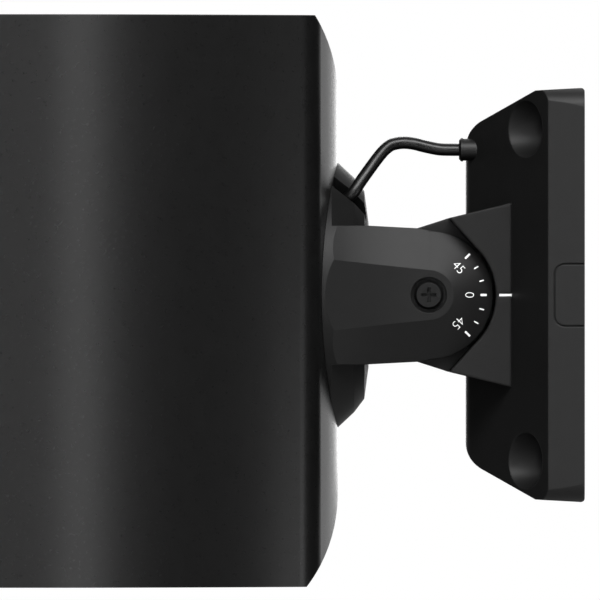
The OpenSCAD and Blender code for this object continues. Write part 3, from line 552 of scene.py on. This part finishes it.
TICK_RADIUS = 22 * MM
TICK_STEP = 15
DIAL_END = 45
TICK_SIZES = {0: (0.9, 2.5), 15: (0.5, 1.9), 30: (0.5, 1.9), 45: (0.8, 2.7)}
NUMBER_RADIUS = 16.4 * MM
NUMBER_HEIGHT = 3.5 * MM
NUMBERS = {-43: "45", 0: "0", 43: "45"}
marks = []
for angle in range(-DIAL_END, DIAL_END + 1, TICK_STEP):
    across, along = TICK_SIZES[abs(angle)]
    marks.append((bar_mark(across * MM, along * MM), dial_place(angle, TICK_RADIUS)))
for angle, text in NUMBERS.items():
    marks.append((number_mark(text, NUMBER_HEIGHT), dial_place(angle, NUMBER_RADIUS)))
print("marks on the dial:", len(marks))

# %% [markdown]
# The marks could be engraved, but on the real arm they are ink that lies on the coat. Their faces are
# split into small triangles, and a Shrinkwrap modifier then projects them onto the arm, so that the print
# follows its bevels. Solidify gives the ink its thickness.

# %% Dial print
PRINT_GRID = 0.4 * MM
HALVINGS = 3
INK = 0.05 * MM


def print_ink():
    material, shader = start_finish("dial_ink", grey(196), roughness=0.6, specular=0.2)
    raise_bumps(material, shader, noise(material, 0.2 * MM), depth=0.01 * MM, strength=0.4)
    tint(material, shader, noise(material, 0.3 * MM), grey(190), grey(202))
    return material


def join_marks(name, marks):
    """One mesh of all the marks, in triangles about as small as the print's grid."""
    whole = bmesh.new()
    for form, place in marks:
        bmesh.ops.transform(form, matrix=place, verts=form.verts)
        part = bpy.data.meshes.new("mark")
        form.to_mesh(part)
        whole.from_mesh(part)
        form.free()
    for halving in range(HALVINGS):
        too_long = [e for e in whole.edges if e.calc_length() > PRINT_GRID]
        bmesh.ops.subdivide_edges(whole, edges=too_long, cuts=1)
        bmesh.ops.triangulate(whole, faces=whole.faces)
    mesh = bpy.data.meshes.new(name)
    whole.to_mesh(mesh)
    whole.free()
    return mesh


def lay_ink(name, mesh, target, ink):
    """Projects flat marks along +Y onto a casting and gives them their thickness."""
    piece = bpy.data.objects.new(name, mesh)
    scene.collection.objects.link(piece)
    wrap = piece.modifiers.new("lay_on_casting", "SHRINKWRAP")
    wrap.wrap_method = "PROJECT"
    wrap.use_project_y = True
    wrap.use_positive_direction = True
    wrap.target = target
    wrap.offset = INK
    coat = piece.modifiers.new("ink", "SOLIDIFY")
    coat.thickness = INK
    coat.offset = 0
    final = bpy.data.meshes.new_from_object(piece.evaluated_get(bpy.context.evaluated_depsgraph_get()))
    piece.modifiers.clear()
    piece.data = final
    final.materials.append(ink)
    return piece


ink = print_ink()
dial = lay_ink("dial_print", join_marks("dial_print", marks), nodes["bracket_arm"], ink)
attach(dial, "speaker_side")
print("dial print faces:", len(dial.data.polygons))

# %% [markdown]
# The index on the yoke is a shallow slot filled with the same paint. It stays with the wall when the
# speaker tilts. A bevelled bar, a little sunk below the yoke's face, fills the slot. Its sizes are in
# millimetres.

# %% Index paint
INDEX_TIP, INDEX_ROOT = -34.0, -28.9
INDEX_SUNK, INDEX_BACK = 0.2, 0.45
INDEX_HALF_WIDTH = 0.52
INDEX_EDGE = 0.06


def index_paint():
    low = Vector((INDEX_TIP, FACE_Y / MM + INDEX_SUNK, -INDEX_HALF_WIDTH)) * MM
    high = Vector((INDEX_ROOT, FACE_Y / MM + INDEX_BACK, INDEX_HALF_WIDTH)) * MM
    form = bmesh.new()
    size = high - low
    place = Matrix.Translation((low + high) / 2) @ Matrix.Diagonal((*size, 1))
    bmesh.ops.create_cube(form, size=1, matrix=place)
    bmesh.ops.bevel(form, geom=list(form.edges), offset=INDEX_EDGE * MM, segments=2, profile=0.5,
                    affect="EDGES", material=-1)
    mesh = bpy.data.meshes.new("index_paint")
    form.to_mesh(mesh)
    form.free()
    piece = bpy.data.objects.new("index_paint", mesh)
    scene.collection.objects.link(piece)
    mesh.materials.append(ink)
    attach(piece, "wall_side")
    return piece


print("index paint:", index_paint().name)

# %% [markdown]
# The speaker hangs on a wall, well above a plain pale floor. The floor is one round face, because nothing
# of it shows but its colour.

# %% Floor
FLOOR_Z = -1.2
FLOOR_RADIUS = 4.0


def pale_floor():
    form = bmesh.new()
    bmesh.ops.create_circle(form, cap_ends=True, segments=64, radius=FLOOR_RADIUS,
                            matrix=Matrix.Translation((0, 0, FLOOR_Z)))
    mesh = bpy.data.meshes.new("floor")
    form.to_mesh(mesh)
    form.free()
    floor = bpy.data.objects.new("floor", mesh)
    scene.collection.objects.link(floor)
    material, shader = start_finish("pale_floor", grey(230), roughness=0.8, specular=0.2)
    tint(material, shader, noise(material, 0.3), grey(228), grey(232))
    mesh.materials.append(material)
    return floor


print("floor:", pale_floor().name)

# %% [markdown]
# The air is white for the camera. A white wall behind the speaker would light its black faces too, and
# they would turn grey. So the air is dim for everything else, apart from glossy and see-through surfaces:
# what they show of the space behind the speaker is white, most of all straight away from the camera.

# %% Background
AIR_DIM = 0.03
WHITE_HALF_ANGLE = 50


def background(dim, half_angle):
    """White for the camera and for reflections of the space behind the speaker, and dim for the rest."""
    world = bpy.data.worlds.new("white_background")
    world.use_nodes = True
    scene.world = world
    tree = world.node_tree
    link = tree.links.new
    kind_of_ray = tree.nodes.new("ShaderNodeLightPath")
    way = tree.nodes.new("ShaderNodeTexCoord")
    towards_back = tree.nodes.new("ShaderNodeVectorMath")
    towards_back.operation = "DOT_PRODUCT"
    towards_back.inputs[1].default_value = (0, 1, 0)
    link(way.outputs["Generated"], towards_back.inputs[0])
    behind = tree.nodes.new("ShaderNodeMapRange")
    behind.inputs["From Min"].default_value = math.cos(math.radians(half_angle))
    behind.inputs["From Max"].default_value = 1
    link(towards_back.outputs["Value"], behind.inputs["Value"])
    mirrored = tree.nodes.new("ShaderNodeMath")
    mirrored.operation = "ADD"
    link(kind_of_ray.outputs["Is Glossy Ray"], mirrored.inputs[0])
    link(kind_of_ray.outputs["Is Transmission Ray"], mirrored.inputs[1])
    shown = tree.nodes.new("ShaderNodeMath")
    shown.operation = "MULTIPLY_ADD"
    shown.use_clamp = True
    link(mirrored.outputs["Value"], shown.inputs[0])
    link(behind.outputs["Result"], shown.inputs[1])
    link(kind_of_ray.outputs["Is Camera Ray"], shown.inputs[2])
    blend = tree.nodes.new("ShaderNodeMix")
    blend.data_type = "RGBA"
    blend.inputs["A"].default_value = (dim, dim, dim, 1)
    blend.inputs["B"].default_value = (1, 1, 1, 1)
    link(shown.outputs["Value"], blend.inputs["Factor"])
    link(blend.outputs["Result"], tree.nodes["Background"].inputs["Color"])


background(AIR_DIM, WHITE_HALF_ANGLE)
print("background:", scene.world.name)

# %% [markdown]
# The lamps are soft boxes, as in a small studio, because a small hard lamp would leave black faces black
# and their edges glaring. The largest hangs high on the camera's side and lights every edge that faces up.
# A tall narrow one stands below it and draws the long highlight on the cabinet, and a wider one to its left
# fills in beside it. Weaker ones stand low at the right, below, on the far side and in front of the grille,
# so that the views from there can be read. The list gives each lamp's place, its width and height in
# metres, and its power in watts.

# %% Lamps
SPREAD = 120
MIDDLE = (-0.11, 0, 0)
LAMPS = {
    "top_box": ((0.25, -1.1, 1.1), 1.8, 0.6, 38),
    "strip_box": ((0.09, -1.8, 0.0), 0.1, 1.6, 3.5),
    "left_box": ((-0.6, -1.8, 0.1), 0.4, 1.0, 2.8),
    "right_box": ((1.3, -0.9, -0.5), 0.5, 0.8, 4),
    "rim_box": ((-0.1, 0.9, 1.5), 1.2, 0.6, 3),
    "low_box": ((0.0, -1.3, -0.9), 1.2, 0.5, 1.0),
    "far_box": ((-0.2, 1.8, 0.4), 1.0, 1.0, 6),
    "front_box": ((-1.9, 0.3, 0.6), 0.8, 0.8, 1.0),
}


def soft_box(name, place, width, height, power):
    lamp = bpy.data.lights.new(name, "AREA")
    lamp.shape = "RECTANGLE"
    lamp.size = width
    lamp.size_y = height
    lamp.energy = power
    lamp.spread = math.radians(SPREAD)
    box = bpy.data.objects.new(name, lamp)
    box.location = place
    box.rotation_euler = (Vector(MIDDLE) - Vector(place)).to_track_quat("-Z", "Y").to_euler()
    scene.collection.objects.link(box)


for name, (place, width, height, power) in LAMPS.items():
    soft_box(name, place, width, height, power)
print("lamps:", len(LAMPS))

# %% [markdown]
# The Standard view shows colours as they are written.

# %% View
scene.view_settings.view_transform = "Standard"
